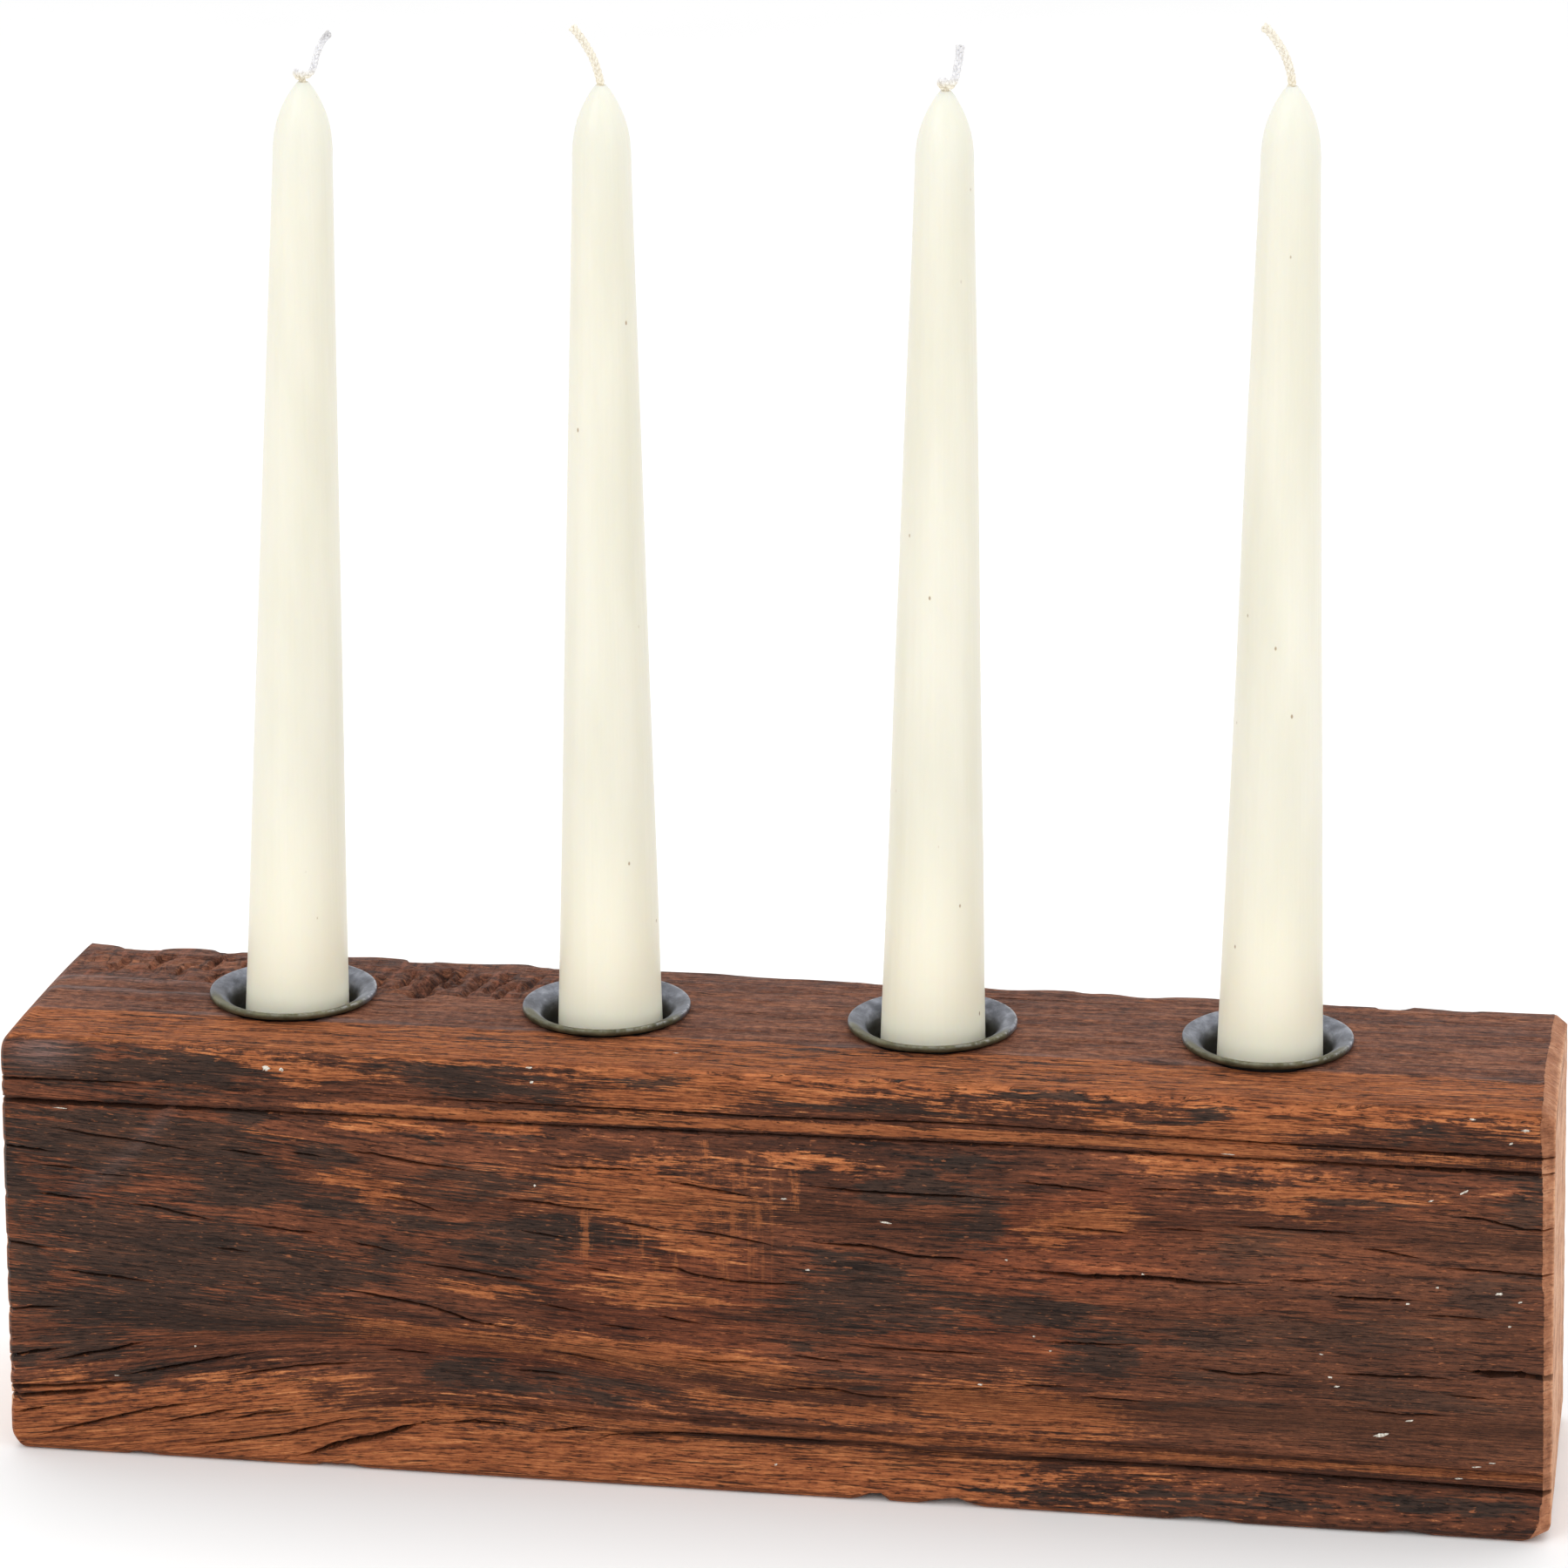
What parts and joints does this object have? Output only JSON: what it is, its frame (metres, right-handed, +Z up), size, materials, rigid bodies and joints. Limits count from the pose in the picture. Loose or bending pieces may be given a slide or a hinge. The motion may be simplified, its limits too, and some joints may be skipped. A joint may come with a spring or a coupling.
{
  "type": "taper candle holder",
  "caption": "Candle holder made from a weathered hardwood beam offcut with flared metal candle cups set in its top and a tapered ivory dinner candle standing in each cup.",
  "frame": {"origin": "centre of the block's underside, on the surface that it stands on", "axes": "+X along the beam towards the fourth cup, +Y from the moulded front face to the plain back, +Z up"},
  "size_m": [0.336, 0.07, 0.3148],
  "materials": {
    "weathered_wood": "weathered reddish hardwood, rough sawn and worn, unvarnished",
    "blackened_steel": "dark oxidised steel, satin, worn at the lip",
    "screw_steel": "plain zinc-plated steel",
    "ivory_wax": "ivory wax, semi-gloss, slightly translucent",
    "wick_cotton": "braided cotton stiffened with wax"
  },
  "bodies": {
    "holder": {"wood_block": "weathered_wood", "candle_cup_1": "blackened_steel", "candle_cup_2": "blackened_steel", "candle_cup_3": "blackened_steel", "candle_cup_4": "blackened_steel", "cup_screw_1": "screw_steel", "cup_screw_2": "screw_steel", "cup_screw_3": "screw_steel", "cup_screw_4": "screw_steel"},
    "taper_1": {"candle_1": "ivory_wax", "wick_1": "wick_cotton"},
    "taper_2": {"candle_2": "ivory_wax", "wick_2": "wick_cotton"},
    "taper_3": {"candle_3": "ivory_wax", "wick_3": "wick_cotton"},
    "taper_4": {"candle_4": "ivory_wax", "wick_4": "wick_cotton"}
  },
  "joints": [
    {"name": "lift_1", "type": "slide", "parent": "holder", "child": "taper_1", "axis": [0.0401, 0, 0.9992], "range_m": [0, 0.06]},
    {"name": "lift_2", "type": "slide", "parent": "holder", "child": "taper_2", "axis": [0.0073, 0, 1], "range_m": [0, 0.06]},
    {"name": "lift_3", "type": "slide", "parent": "holder", "child": "taper_3", "axis": [0.0129, 0, 0.9999], "range_m": [0, 0.06]},
    {"name": "lift_4", "type": "slide", "parent": "holder", "child": "taper_4", "axis": [0.0047, 0, 1], "range_m": [0, 0.06]}
  ]
}
